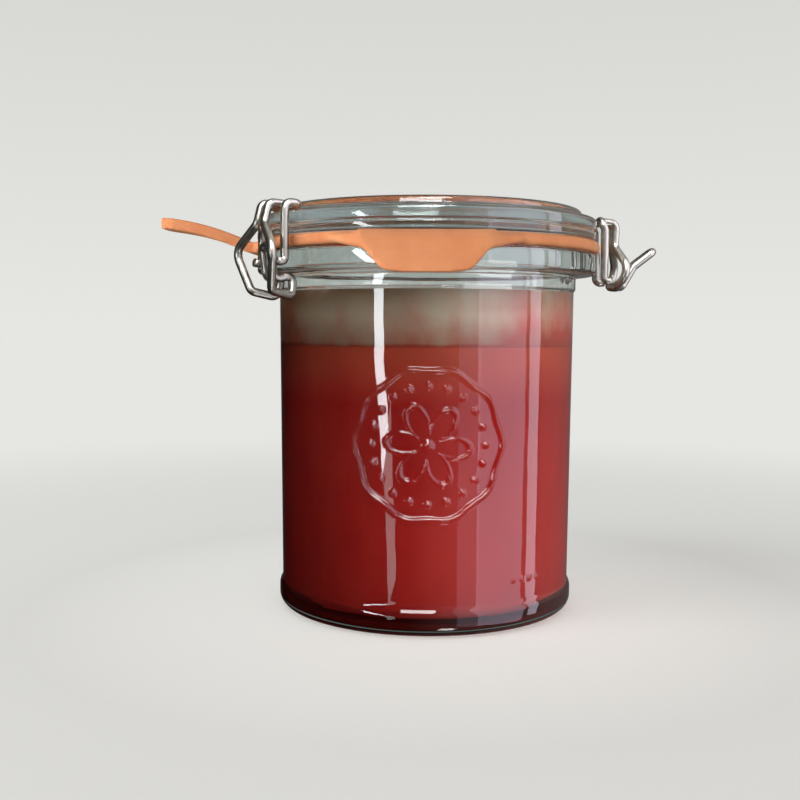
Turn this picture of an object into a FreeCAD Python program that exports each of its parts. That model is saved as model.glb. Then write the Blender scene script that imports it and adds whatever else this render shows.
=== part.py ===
"""A filled preserving jar: glass jar and lid, rubber ring with two pull tabs, and two wire clips.

Millimetres, +Z up. The jar stands on Z = 0 and its axis is the Z axis. -Y is the side with the broad tab.
"""

import FreeCAD, Part

import math
import os

import Sketcher

App = FreeCAD
FULL_TURN = 360.0
NEAR = 1e-4

# The driving dimensions: cell alias, value, what it is.
DIMENSIONS = [
    ("mouth_height", 70.6, "top face of the lip above the table"),
    ("lip_radius", 34.0, "outside of the lip"),
    ("lip_depth", 4.3, "height of the lip's outer face"),
    ("lip_round", 0.9, "rounding of the lip's outer edges"),
    ("neck_band_height", 2.9, "height of the thicker band under the lip"),
    ("neck_band_proud", 0.35, "how far that band stands out of the wall"),
    ("neck_cove", 0.9, "hollow rounding under the lip"),
    ("wall_radius_top", 29.6, "outside of the wall under the lip"),
    ("wall_radius_foot", 29.1, "outside of the wall above the heel"),
    ("heel_radius", 29.7, "outside of the heel"),
    ("heel_height", 4.4, "height of the heel band"),
    ("heel_slope", 1.2, "height over which the heel runs into the wall"),
    ("heel_round", 2.4, "rounding under the heel"),
    ("foot_ring_width", 4.6, "width of the flat ring that the jar stands on"),
    ("push_up", 1.2, "hollow in the middle of the base"),
    ("mouth_radius", 27.3, "inside of the mouth"),
    ("floor_radius", 26.5, "inside of the wall at the floor"),
    ("floor_thickness", 4.0, "glass under the filling"),
    ("floor_round", 4.2, "rounding between floor and wall inside"),
    ("mouth_round", 0.8, "rounding of the mouth's inner edge"),
    ("fill_height", 52.6, "level of the filling above the table"),
    ("fill_clearance", 0.2, "filling to the inside of the wall"),
    ("ring_thickness", 2.2, "rubber between lip and lid"),
    ("ring_inset", 0.4, "from the mouth's edge to the ring's inner edge"),
    ("ring_proud", 0.5, "how far the ring stands out of lip and lid"),
    ("ring_round", 0.8, "rounding of the ring's outer edges"),
    ("tab_half_width", 11.8, "half width of the broad tab at the ring"),
    ("tab_end_half_width", 7.4, "half width of the broad tab at its end"),
    ("tab_bend_radius", 3.4, "radius of the bends where the tabs leave the ring"),
    ("tab_droop", 62.0, "angle that the broad tab hangs at, in degrees"),
    ("tab_drop", 5.4, "how far the broad tab hangs below the ring"),
    ("tab_corner", 3.4, "rounding of the broad tab's corners"),
    ("tongue_azimuth", -92.0, "direction of the long tongue, in degrees from -Y"),
    ("tongue_half_width", 5.6, "half width of the long tongue"),
    ("tongue_length", 19.3, "length of the long tongue past the ring"),
    ("tongue_curve", 52.0, "radius that the long tongue curves on"),
    ("tongue_lift", 25.0, "angle that the tongue leaves the ring at, in degrees"),
    ("lid_radius", 34.0, "outside of the lid's flange"),
    ("flange_height", 4.5, "height of the lid's flange above the ring"),
    ("flange_round", 0.9, "rounding of the flange's edges"),
    ("crown_height", 1.8, "height of the lid's crown above its flange"),
    ("ledge_width", 2.7, "ledge round the crown, which the clips press on"),
    ("crown_lean", 0.5, "how far the crown's side leans in"),
    ("crown_round", 0.8, "rounding of the crown's edges"),
    ("crown_width", 2.4, "flat top of the crown"),
    ("dish_depth", 1.8, "dish in the lid's top"),
    ("dish_slope", 1.2, "width of the slope down into the dish"),
    ("side_groove", 0.35, "depth of the groove round the flange"),
    ("groove_height", 1.9, "height of that groove above the ring"),
    ("plug_gap", 1.0, "gap between the lid's plug and the ring"),
    ("plug_depth", 1.0, "how far the plug reaches below the flange"),
    ("plug_hollow", 1.4, "hollow in the plug's underside"),
    ("plug_rim", 3.4, "width of the plug's rim round that hollow"),
    ("wire_radius", 0.8, "clip wire"),
    ("wire_clearance", 0.12, "gap between a clip and what it grips"),
    ("clip_half_width", 4.15, "straight legs of a clip from its middle"),
    ("leg_end_rise", 1.3, "lower ends of a clip's straight legs above the lip's underside"),
    ("leg_end_curl", 1.7, "how far those ends curl outwards"),
    ("loop_half_width", 1.3, "inner sides of a clip's two loops from its middle"),
    ("loop_rise", 0.25, "how far the loops rise from the ledge that they press on"),
    ("loop_width", 1.6, "outer legs of a clip out from its straight legs, at the loops"),
    ("elbow_out", 5.5, "clip's elbows out from the lip or the lid, whichever is wider"),
    ("elbow_half_width", 7.0, "clip's elbows from its middle"),
    ("elbow_rise", 3.5, "clip's elbows above the lip's underside"),
    ("heel_out", 4.0, "lower bends of a clip out from the lip"),
    ("heel_half_width", 3.8, "lower bends of a clip from its middle"),
    ("heel_drop", 3.8, "lower bends of a clip below the lip"),
    ("hook_in", 1.6, "how far the closed clip's hook reaches in under the lip"),
    ("thumb_half_width", 1.35, "thumb loop's legs from the clip's middle"),
    ("left_clip_azimuth", -52.5, "left clip, in degrees from -Y"),
    ("right_clip_azimuth", 92.5, "right clip, in degrees from -Y"),
    ("open_slip", 2.45, "how far the open clip's loops have slid outwards on the ledge"),
    ("open_swing", 1.2, "how far the open clip's outer legs stand further out"),
    ("open_drop", 2.4, "how far the open clip sits lower than the closed one"),
    ("open_heel_rise", 1.9, "how far the open clip's lower bends sit higher"),
]


class Size:
    """A number together with the spreadsheet expression that it comes from."""

    def __init__(self, value, text=None):
        self.value = float(value)
        self.text = text or repr(float(value))

    @staticmethod
    def of(other):
        return other if isinstance(other, Size) else Size(other)

    def __add__(self, other):
        other = Size.of(other)
        return Size(self.value + other.value, f"({self.text} + {other.text})")

    def __sub__(self, other):
        other = Size.of(other)
        return Size(self.value - other.value, f"({self.text} - {other.text})")

    def __mul__(self, other):
        other = Size.of(other)
        return Size(self.value * other.value, f"({self.text} * {other.text})")

    def __truediv__(self, other):
        other = Size.of(other)
        return Size(self.value / other.value, f"({self.text} / {other.text})")


def make_sheet(doc):
    """Writes the driving dimensions to the spreadsheet and returns them as sizes by alias."""
    sheet = doc.addObject("Spreadsheet::Sheet", "sizes")
    found = {}
    for row, (alias, value, meaning) in enumerate(DIMENSIONS, start=1):
        sheet.set(f"A{row}", alias)
        sheet.set(f"B{row}", str(value))
        sheet.set(f"C{row}", meaning)
        sheet.setAlias(f"B{row}", alias)
        found[alias] = Size(value, f"sizes.{alias}")
    doc.recompute()
    return found


def bind(thing, property_name, size):
    """Sets a property from a size and ties it to the spreadsheet."""
    thing.setExpression(property_name, size.text)


def profile(body, name, corners):
    """A closed sketch in the body's XZ plane through corners (radius, height), each tied to the sheet."""
    sketch = body.newObject("Sketcher::SketchObject", name)
    plane = next(o for o in body.Origin.OriginFeatures if o.Role == "XZ_Plane")
    sketch.AttachmentSupport = [(plane, "")]
    sketch.MapMode = "FlatFace"
    corners = [(Size.of(x), Size.of(z)) for x, z in corners]
    spots = [App.Vector(x.value, z.value, 0) for x, z in corners]
    for here, there in zip(spots, spots[1:] + spots[:1]):
        sketch.addGeometry(Part.LineSegment(here, there), False)
    count = len(corners)
    for i in range(count):
        sketch.addConstraint(Sketcher.Constraint("Coincident", i, 2, (i + 1) % count, 1))
    for i, (x, z) in enumerate(corners):
        for kind, axis, size in (("DistanceX", -2, x), ("DistanceY", -1, z)):
            if abs(size.value) < NEAR:
                sketch.addConstraint(Sketcher.Constraint("PointOnObject", i, 1, axis))
            else:
                index = sketch.addConstraint(Sketcher.Constraint(kind, -1, 1, i, 1, size.value))
                sketch.setExpression(f"Constraints[{index}]", size.text)
    return sketch


def turned(body, kind, name, sketch):
    """A Revolution or Groove of the sketch about the Z axis."""
    feature = body.newObject(f"PartDesign::{kind}", name)
    feature.Profile = sketch
    feature.ReferenceAxis = (sketch, ["V_Axis"])
    feature.Angle = FULL_TURN
    sketch.Visibility = False
    body.Document.recompute()
    return feature


def ring_edges(shape, radius, height):
    """Names of the shape's circular edges of that radius at that height."""
    names = []
    for index, edge in enumerate(shape.Edges, start=1):
        curve = edge.Curve
        if not isinstance(curve, Part.Circle):
            continue
        if abs(curve.Radius - radius.value) < 1e-3 and abs(curve.Center.z - height.value) < 1e-3:
            names.append(f"Edge{index}")
    if not names:
        raise RuntimeError(f"no round edge of radius {radius.value} at height {height.value}")
    return names


def rounded(body, name, base, radius, places):
    """A Fillet on the circular edges at places (radius, height)."""
    feature = body.newObject("PartDesign::Fillet", name)
    edges = [n for r, z in places for n in ring_edges(base.Shape, Size.of(r), Size.of(z))]
    feature.Base = (base, edges)
    feature.Radius = radius.value
    bind(feature, "Radius", radius)
    body.Document.recompute()
    return feature


def new_body(doc, label):
    """An empty body whose label names its file."""
    body = doc.addObject("PartDesign::Body", label)
    body.Label = label
    doc.recompute()
    return body


def wall_inside(s, height):
    """Inner radius of the jar at a height, on the straight taper from floor to mouth."""
    rise = s["mouth_height"] - s["floor_thickness"]
    share = (height - s["floor_thickness"]) / rise
    return s["floor_radius"] + (s["mouth_radius"] - s["floor_radius"]) * share


def make_jar(doc, s):
    """The glass jar: heel, tapered wall, thicker neck band, lip, and the cavity."""
    body = new_body(doc, "glass_jar")
    foot_outer = s["heel_radius"] - s["heel_round"]
    foot_inner = foot_outer - s["foot_ring_width"]
    heel_top = s["heel_height"] + s["heel_slope"]
    lip_low = s["mouth_height"] - s["lip_depth"]
    band_low = lip_low - s["neck_band_height"]
    band_radius = s["wall_radius_top"] + s["neck_band_proud"]
    outline = [
        (0, s["push_up"]),
        (foot_inner - s["push_up"] * 2, s["push_up"]),
        (foot_inner, 0),
        (s["heel_radius"], 0),
        (s["heel_radius"], s["heel_height"]),
        (s["wall_radius_foot"], heel_top),
        (s["wall_radius_top"], band_low - s["neck_band_proud"]),
        (band_radius, band_low),
        (band_radius, lip_low),
        (s["lip_radius"], lip_low),
        (s["lip_radius"], s["mouth_height"]),
        (0, s["mouth_height"]),
    ]
    blank = turned(body, "Revolution", "jar_blank", profile(body, "jar_outline", outline))
    cavity_outline = [
        (0, s["floor_thickness"]),
        (s["floor_radius"], s["floor_thickness"]),
        (s["mouth_radius"], s["mouth_height"]),
        (0, s["mouth_height"]),
    ]
    full = blank.Shape.Volume
    cavity = turned(body, "Groove", "jar_cavity", profile(body, "cavity_outline", cavity_outline))
    if cavity.Shape.Volume > full - 1.0:
        raise RuntimeError("the cavity cut nothing")
    floor = [(s["floor_radius"], s["floor_thickness"])]
    step = rounded(body, "floor_rounding", cavity, s["floor_round"], floor)
    step = rounded(body, "heel_rounding", step, s["heel_round"], [(s["heel_radius"], 0)])
    rims = [(s["lip_radius"], lip_low), (s["lip_radius"], s["mouth_height"])]
    step = rounded(body, "lip_rounding", step, s["lip_round"], rims)
    step = rounded(body, "lip_cove", step, s["neck_cove"], [(band_radius, lip_low)])
    mouth = [(s["mouth_radius"], s["mouth_height"])]
    body.Tip = rounded(body, "mouth_rounding", step, s["mouth_round"], mouth)
    return body


def make_filling(doc, s):
    """The ketchup, which fills the cavity up to its level."""
    body = new_body(doc, "ketchup")
    floor_radius = s["floor_radius"] - s["fill_clearance"]
    outline = [
        (0, s["floor_thickness"]),
        (floor_radius, s["floor_thickness"]),
        (wall_inside(s, s["fill_height"]) - s["fill_clearance"], s["fill_height"]),
        (0, s["fill_height"]),
    ]
    blank = turned(body, "Revolution", "filling_blank", profile(body, "filling_outline", outline))
    floor = [(floor_radius, s["floor_thickness"])]
    body.Tip = rounded(body, "filling_rounding", blank, s["floor_round"], floor)
    return body


def make_lid(doc, s):
    """The glass lid: grooved flange, crown, dished top, and a plug that sits inside the ring."""
    body = new_body(doc, "glass_lid")
    seat = s["mouth_height"] + s["ring_thickness"]
    ledge = seat + s["flange_height"]
    top = ledge + s["crown_height"]
    crown_foot = s["lid_radius"] - s["ledge_width"]
    crown = crown_foot - s["crown_lean"]
    dish_rim = crown - s["crown_width"]
    dish = dish_rim - s["dish_slope"]
    groove = seat + s["groove_height"]
    plug = s["mouth_radius"] + s["ring_inset"] - s["plug_gap"]
    hollow = plug - s["plug_rim"]
    outline = [
        (0, seat - s["plug_depth"] + s["plug_hollow"]),
        (hollow, seat - s["plug_depth"] + s["plug_hollow"]),
        (hollow + s["plug_hollow"], seat - s["plug_depth"]),
        (plug, seat - s["plug_depth"]),
        (plug, seat),
        (s["lid_radius"], seat),
        (s["lid_radius"], groove - s["side_groove"]),
        (s["lid_radius"] - s["side_groove"], groove),
        (s["lid_radius"], groove + s["side_groove"]),
        (s["lid_radius"], ledge),
        (crown_foot, ledge),
        (crown, top),
        (dish_rim, top),
        (dish, top - s["dish_depth"]),
        (0, top - s["dish_depth"]),
    ]
    blank = turned(body, "Revolution", "lid_blank", profile(body, "lid_outline", outline))
    crown_edges = [(crown, top), (crown_foot, ledge)]
    step = rounded(body, "crown_rounding", blank, s["crown_round"], crown_edges)
    rim = [(s["lid_radius"], ledge)]
    step = rounded(body, "flange_rounding", step, s["flange_round"], rim)
    low_rims = [(s["lid_radius"], seat), (plug, seat - s["plug_depth"])]
    body.Tip = rounded(body, "low_rounding", step, s["side_groove"], low_rims)
    return body


def bent_strip(centre, thickness, half_width):
    """A strip of even thickness that follows a wire in the XZ plane, and is as wide as said along Y."""
    start = centre.Edges[0].valueAt(centre.Edges[0].FirstParameter)
    along = centre.Edges[0].tangentAt(centre.Edges[0].FirstParameter)
    up = App.Vector(-along.z, 0, along.x) * (thickness / 2)
    side = App.Vector(0, half_width, 0)
    corners = [start + side + up, start - side + up, start - side - up, start + side - up]
    section = Part.makePolygon(corners + corners[:1])
    return centre.makePipeShell([section], True, False)


def outline_block(edge_list, along, shift, length):
    """The block that a closed outline sweeps when it is moved back by a shift and then extruded."""
    face = Part.Face(Part.Wire(Part.__sortEdges__(edge_list)))
    face.translate(along * shift)
    return face.extrude(along * length)


def rounded_outline(corners, radii):
    """Edges of a closed flat polygon with its corners rounded to the given radii."""
    count = len(corners)
    starts, ends, arcs = [], [], []
    for i in range(count):
        here = corners[i]
        back = (corners[i - 1] - here).normalize()
        forth = (corners[(i + 1) % count] - here).normalize()
        if radii[i] <= 0:
            starts.append(here)
            ends.append(here)
            continue
        half = back.getAngle(forth) / 2
        cut = radii[i] / math.tan(half)
        first, last = here + back * cut, here + forth * cut
        middle_way = (back + forth).normalize()
        centre = here + middle_way * (radii[i] / math.sin(half))
        arcs.append(Part.Arc(first, centre - middle_way * radii[i], last).toShape())
        starts.append(first)
        ends.append(last)
    lines = [Part.LineSegment(ends[i], starts[(i + 1) % count]).toShape() for i in range(count)]
    return arcs + lines


def tab_outline(s, low, high):
    """Front view of the broad tab: wide at the ring, sloping shoulders, rounded corners at its end."""
    wide, narrow = s["tab_half_width"].value, s["tab_end_half_width"].value
    corner = s["tab_corner"].value
    end = low - s["tab_drop"].value
    left = [
        App.Vector(0, -wide, high),
        App.Vector(0, -wide, low),
        App.Vector(0, -narrow, end),
    ]
    right = [App.Vector(0, -v.y, v.z) for v in reversed(left)]
    return rounded_outline(left + right, [0, corner / 2, corner, corner, corner / 2, 0])


def make_ring(doc, s):
    """The rubber ring with its broad hanging tab at -Y and its long lifted tongue."""
    low = s["mouth_height"].value
    thick = s["ring_thickness"].value
    outer = s["lid_radius"].value + s["ring_proud"].value
    body = new_body(doc, "ring_band")
    ring_in = s["mouth_radius"] + s["ring_inset"]
    ring_out = s["lid_radius"] + s["ring_proud"]
    ring_top = s["mouth_height"] + s["ring_thickness"]
    outline = [
        (ring_in, s["mouth_height"]),
        (ring_out, s["mouth_height"]),
        (ring_out, ring_top),
        (ring_in, ring_top),
    ]
    band = turned(body, "Revolution", "band_blank", profile(body, "band_outline", outline))
    edges = [(ring_out, s["mouth_height"]), (ring_out, ring_top)]
    body.Tip = rounded(body, "band_rounding", band, s["ring_round"], edges)

    middle = low + thick / 2
    root = outer - s["ring_round"].value - thick / 2
    tab = doc.addObject("Part::Feature", "broad_tab")
    droop = math.radians(s["tab_droop"].value)
    bend = s["tab_bend_radius"].value
    start = App.Vector(root, 0, middle)
    edge = App.Vector(outer, 0, middle)
    centre = edge - App.Vector(0, 0, bend)

    def on_bend(angle):
        return centre + App.Vector(math.sin(angle), 0, math.cos(angle)) * bend

    down = App.Vector(math.cos(droop), 0, -math.sin(droop))
    tip = on_bend(droop) + down * (s["tab_drop"].value + thick / 2)
    path = Part.Wire(
        [
            Part.LineSegment(start, edge).toShape(),
            Part.Arc(edge, on_bend(droop / 2), on_bend(droop)).toShape(),
            Part.LineSegment(on_bend(droop), tip).toShape(),
        ]
    )
    strip = bent_strip(path, thick, s["tab_half_width"].value)
    front = outline_block(tab_outline(s, low, low + thick * 2), App.Vector(1, 0, 0), root - 1, tip.x)
    tab.Shape = strip.common(front)
    tab.Placement = App.Placement(App.Vector(0, 0, 0), App.Rotation(App.Vector(0, 0, 1), -90))

    tongue = doc.addObject("Part::Feature", "long_tongue")
    lift = math.radians(s["tongue_lift"].value)
    curve = s["tongue_curve"].value
    turn = s["tongue_length"].value / curve
    foot_bend = bend

    def on_foot(angle):
        return edge + App.Vector(math.sin(angle), 0, 1 - math.cos(angle)) * foot_bend

    crest = on_foot(lift) + App.Vector(math.sin(lift), 0, -math.cos(lift)) * curve

    def on_tongue(angle):
        lean = lift - angle
        return crest + App.Vector(-math.sin(lean), 0, math.cos(lean)) * curve

    path = Part.Wire(
        [
            Part.LineSegment(start, edge).toShape(),
            Part.Arc(edge, on_foot(lift / 2), on_foot(lift)).toShape(),
            Part.Arc(on_tongue(0), on_tongue(turn / 2), on_tongue(turn)).toShape(),
        ]
    )
    half = s["tongue_half_width"].value
    strip = bent_strip(path, thick, half)
    end = on_tongue(turn).x - thick / 4
    corner = half * 0.7
    corners = [(root - thick, -half), (end, -half), (end, half), (root - thick, half)]
    plan_edges = rounded_outline([App.Vector(x, y, 0) for x, y in corners], [0, corner, corner, 0])
    plan = outline_block(plan_edges, App.Vector(0, 0, 1), low - thick, low)
    tongue.Shape = strip.common(plan)
    azimuth = s["tongue_azimuth"].value - 90
    turned_round = App.Rotation(App.Vector(0, 0, 1), azimuth)
    tongue.Placement = App.Placement(App.Vector(0, 0, 0), turned_round)

    ring = doc.addObject("Part::MultiFuse", "rubber_ring")
    ring.Shapes = [body, tab, tongue]
    ring.Label = "rubber_ring"
    return ring


def bent_wire(points, radii):
    """Straight runs through points, joined by tangent arcs of the given radii at the inner points.

    Where two arcs need more than the run between them, both are limited to what the run holds.
    """
    halves = [None] * len(points)
    cuts = [0.0] * len(points)
    for i in range(1, len(points) - 1):
        halves[i] = (points[i - 1] - points[i]).getAngle(points[i + 1] - points[i]) / 2
        cuts[i] = radii[i] / math.tan(halves[i])
    for i in range(len(points) - 1):
        run = (points[i + 1] - points[i]).Length
        if cuts[i] + cuts[i + 1] > run * 0.98:
            share = run * 0.98 / (cuts[i] + cuts[i + 1])
            cuts[i], cuts[i + 1] = cuts[i] * share, cuts[i + 1] * share
    edges = []
    here = points[0]
    for i in range(1, len(points) - 1):
        back = (points[i - 1] - points[i]).normalize()
        forth = (points[i + 1] - points[i]).normalize()
        radius = cuts[i] * math.tan(halves[i])
        first, last = points[i] + back * cuts[i], points[i] + forth * cuts[i]
        way = (back + forth).normalize()
        middle = points[i] + way * (radius / math.sin(halves[i]) - radius)
        if (first - here).dot(points[i] - here) <= 0:
            raise RuntimeError(f"clip bend {i} of radius {radius} does not fit its runs")
        edges.append(Part.LineSegment(here, first).toShape())
        edges.append(Part.Arc(first, middle, last).toShape())
        here = last
    edges.append(Part.LineSegment(here, points[-1]).toShape())
    return Part.Wire(edges)


def upper_half(s, is_open):
    """Half of a clip's line from the end of its straight leg to its lower bend."""
    wire = s["wire_radius"].value + s["wire_clearance"].value
    lip = s["lip_radius"].value
    rim = max(lip, s["lid_radius"].value)
    lip_low = s["mouth_height"].value - s["lip_depth"].value
    ledge = s["mouth_height"].value + s["ring_thickness"].value + s["flange_height"].value
    slip = s["open_slip"].value if is_open else 0.0
    swing = s["open_swing"].value if is_open else 0.0
    drop = s["open_drop"].value if is_open else 0.0
    leg = s["lid_radius"].value + s["ring_proud"].value + wire
    leg_end = lip_low + s["leg_end_rise"].value - drop
    loop_in = s["lid_radius"].value - s["ledge_width"].value + wire + slip
    loop_top = ledge + wire - drop / 3
    side, inner_side = s["clip_half_width"].value, s["loop_half_width"].value
    half_loop = (side - inner_side) / 2
    rise = loop_top + s["loop_rise"].value
    leg_top = ledge - s["flange_round"].value * 2 if is_open else rise
    outer = leg + s["loop_width"].value + swing
    heel_up = s["open_heel_rise"].value if is_open else 0.0
    return [
        (leg + s["leg_end_curl"].value, side, leg_end + wire / 4, 0),
        (leg, side, leg_end, wire),
        (leg, side, leg_top, 1.4),
        (loop_in, side, loop_top, half_loop * 0.9),
        (loop_in, inner_side, loop_top, half_loop * 0.9),
        (outer, inner_side, rise - drop / 4, 1.3),
        (outer + 1.0 - swing, inner_side, ledge - 2.6 - drop, 2.0),
        (rim + s["elbow_out"].value + swing / 2, s["elbow_half_width"].value, elbow_height(s, drop), 2.6),
        (lip + s["heel_out"].value, s["heel_half_width"].value, lip_low - s["heel_drop"].value + heel_up, 1.3),
    ]


def elbow_height(s, drop):
    """Height of a clip's elbows above the table."""
    return (s["mouth_height"] - s["lip_depth"] + s["elbow_rise"]).value - drop


def lower_half(s, is_open):
    """The rest of that line: the hook under the lip and the thumb loop, which an open clip sticks out."""
    wire = s["wire_radius"].value + s["wire_clearance"].value
    lip = s["lip_radius"].value
    rim = max(lip, s["lid_radius"].value)
    low = s["mouth_height"].value - s["lip_depth"].value
    heel_low = low - s["heel_drop"].value
    thumb = s["thumb_half_width"].value
    hook = lip - s["hook_in"].value
    if is_open:
        heel_low += s["open_heel_rise"].value
        return [
            (lip + s["heel_out"].value + 1.5, thumb, heel_low - 0.2, 1.1),
            (rim + 7.9, thumb, low + 2.1, 2.0),
            (rim + 11.9, thumb, low + 5.2, 1.1),
        ]
    return [
        (hook + 0.7, thumb + 1.3, heel_low - 1.1, 1.3),
        (hook, thumb + 0.6, low - wire + 0.45, 1.1),
        (lip + 2.0, thumb, low - wire * 2.2, 1.3),
        (rim + 2.9, thumb, low + 4.4, 1.1),
    ]


def make_clip(doc, s, label, azimuth, is_open):
    """One spring clip, bent from a single wire, on the jar's rim at that azimuth."""
    half = upper_half(s, is_open) + lower_half(s, is_open)
    mirrored = [(r, -t, z, bend) for r, t, z, bend in reversed(half)]
    whole = half + mirrored
    points = [App.Vector(r, t, z) for r, t, z, bend in whole]
    path = bent_wire(points, [bend for r, t, z, bend in whole])
    first = path.Edges[0]
    start = first.valueAt(first.FirstParameter)
    along = first.tangentAt(first.FirstParameter)
    radius = s["wire_radius"].value
    section = Part.Wire([Part.Circle(start, along, radius).toShape()])
    clip = doc.addObject("Part::Feature", label)
    clip.Shape = path.makePipeShell([section], True, False)
    turned_round = App.Rotation(App.Vector(0, 0, 1), azimuth.value - 90)
    clip.Placement = App.Placement(App.Vector(0, 0, 0), turned_round)
    clip.Label = label
    expected = math.pi * radius**2 * path.Length
    print(f"{label}: wire {path.Length:.1f} mm, volume {clip.Shape.Volume:.1f} of {expected:.1f}")
    return clip


def main():
    """Builds the document, checks each object and writes each sub-part's STEP file."""
    doc = App.newDocument("preserving_jar")
    s = make_sheet(doc)
    subparts = [
        make_jar(doc, s),
        make_filling(doc, s),
        make_ring(doc, s),
        make_lid(doc, s),
        make_clip(doc, s, "clip_left", s["left_clip_azimuth"], False),
        make_clip(doc, s, "clip_right", s["right_clip_azimuth"], True),
    ]
    doc.recompute()
    for thing in doc.Objects:
        if {"Invalid", "Error"} & set(thing.State):
            raise RuntimeError(f"{thing.Name} failed: {thing.State}")
    os.makedirs("parts", exist_ok=True)
    for part in subparts:
        if part.Shape.isNull() or not part.Shape.isValid():
            raise RuntimeError(f"{part.Label} has no valid shape")
        part.Shape.exportStep(f"parts/{part.Label}.step")
        box = part.Shape.BoundBox
        print(f"{part.Label}: volume {part.Shape.Volume:.0f} mm3, {len(part.Shape.Solids)} solid, {box}")


main()
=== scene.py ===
"""Looks of a filled preserving jar: glass jar and lid, rubber ring, wire clips and the sauce.

Sizes are in millimetres from the middle of the foot, with Z up and the front towards -Y.
"""

import logging
import math
from dataclasses import dataclass, field
from enum import Enum
from functools import partial
from typing import Callable, Sequence

import bmesh
import bpy
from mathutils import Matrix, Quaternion, Vector


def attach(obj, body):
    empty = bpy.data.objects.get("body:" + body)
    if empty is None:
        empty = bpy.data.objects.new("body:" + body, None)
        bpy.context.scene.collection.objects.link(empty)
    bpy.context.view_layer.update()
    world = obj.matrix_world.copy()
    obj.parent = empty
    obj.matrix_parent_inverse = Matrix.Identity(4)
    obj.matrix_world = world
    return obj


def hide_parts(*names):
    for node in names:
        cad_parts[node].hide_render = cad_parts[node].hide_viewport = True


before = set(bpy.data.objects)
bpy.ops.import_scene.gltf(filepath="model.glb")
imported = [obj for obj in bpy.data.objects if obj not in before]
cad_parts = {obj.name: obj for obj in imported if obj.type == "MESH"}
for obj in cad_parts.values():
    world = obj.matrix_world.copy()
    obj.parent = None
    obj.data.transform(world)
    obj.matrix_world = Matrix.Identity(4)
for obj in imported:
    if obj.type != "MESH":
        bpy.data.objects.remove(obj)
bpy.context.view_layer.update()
LOG = logging.getLogger("preserving_jar")
MM = 0.001
# Facets round the jar.
TURN_STEPS = 256
# Roundings under this many millimetres are made of the first number of segments.
SMALL_ROUND = 2.0
ROUND_SEGMENTS = (6, 10)

Corner = tuple[float, float, float]
Spots = tuple[tuple[float, float], ...]
Stops = Sequence[tuple[float, str]]
Spread = tuple[float, float, float, float]


class Slot(Enum):
    """Material slots of the record."""

    JAR = "clear_glass"
    LID = "lid_glass"
    SAUCE = "ketchup"
    RUBBER = "orange_rubber"
    WIRE = "spring_steel"


def linear(hex_colour: str) -> tuple[float, float, float, float]:
    """Turns an sRGB hex colour to linear light.

    Args:
        hex_colour: Six hex digits.

    Returns:
        Red, green, blue and an alpha of one.
    """
    parts = [int(hex_colour[i : i + 2], 16) / 255 for i in (0, 2, 4)]
    red, green, blue = (p / 12.92 if p <= 0.04045 else ((p + 0.055) / 1.055) ** 2.4 for p in parts)
    return (red, green, blue, 1.0)


def spread_inputs(spread: Sequence[float]) -> dict[str | int, object]:
    """Numbers four inputs: the low and high that are read, then those that they become."""
    return dict(enumerate(spread, start=1))


def add_node(
    tree: bpy.types.NodeTree,
    kind: str,
    settings: dict[str | int, object] | None = None,
    links: dict[str | int, bpy.types.NodeSocket] | None = None,
    stops: Stops = (),
) -> bpy.types.Node:
    """Adds a node with its settings and the links into it.

    Args:
        tree: The node tree.
        kind: The node's type name.
        settings: Values by attribute name, or by input socket name or number.
        links: Output sockets by the input that each one feeds.
        stops: Place and sRGB hex colour of each stop, where the node is a colour ramp.

    Returns:
        The new node.
    """
    node = tree.nodes.new(kind)
    for name, value in (settings or {}).items():
        if isinstance(name, str) and hasattr(node, name):
            setattr(node, name, value)
        else:
            node.inputs[name].default_value = value
    for name, source in (links or {}).items():
        tree.links.new(source, node.inputs[name])
    elements = node.color_ramp.elements if stops else ()
    while len(elements) < len(stops):
        elements.new(0.5)
    for element, (place, colour) in zip(elements, stops):
        element.position = place
        element.color = linear(colour)
    return node


def new_material(name: str) -> tuple[bpy.types.Material, bpy.types.NodeTree, bpy.types.Node]:
    """Makes an empty node material.

    Args:
        name: The material's name.

    Returns:
        The material, its tree and its output node.
    """
    material = bpy.data.materials.new(name)
    material.use_nodes = True
    tree = material.node_tree
    tree.nodes.clear()
    return material, tree, add_node(tree, "ShaderNodeOutputMaterial")


@dataclass(frozen=True)
class PressedGlass:
    """Soda-lime glass pressed in an iron mould and fire polished: clear, green in its depth.

    The mould leaves slow waves in the skin, which bend what lies behind. They are drawn on the
    deep side of what such a jar has, so that they show.
    """

    name: str
    depth_tint: str
    tint_density: float
    haze: float = 0.0
    clear: str = "f7faf8"
    wave_mm: float = 9.0
    wave_depth_mm: float = 0.06
    ior: float = 1.52

    def make(self) -> bpy.types.Material:
        """Builds the material.

        Returns:
            The material.
        """
        material, tree, output = new_material(self.name)
        place = add_node(tree, "ShaderNodeTexCoord").outputs["Object"]
        waves = add_node(
            tree,
            "ShaderNodeTexNoise",
            {"Scale": 1 / (self.wave_mm * MM), "Detail": 1.5},
            {"Vector": place},
        )
        skin = add_node(
            tree,
            "ShaderNodeBump",
            {"Strength": 1.0, "Distance": self.wave_depth_mm * MM},
            {"Height": waves.outputs[0]},
        )
        glass = add_node(
            tree,
            "ShaderNodeBsdfPrincipled",
            {
                "Base Color": linear(self.clear),
                "Roughness": self.haze,
                "IOR": self.ior,
                "Transmission Weight": 1.0,
            },
            {"Normal": skin.outputs[0]},
        )
        depth = add_node(
            tree,
            "ShaderNodeVolumeAbsorption",
            {"Color": linear(self.depth_tint), "Density": self.tint_density},
        )
        tree.links.new(glass.outputs[0], output.inputs["Surface"])
        tree.links.new(depth.outputs[0], output.inputs["Volume"])
        return material


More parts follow.
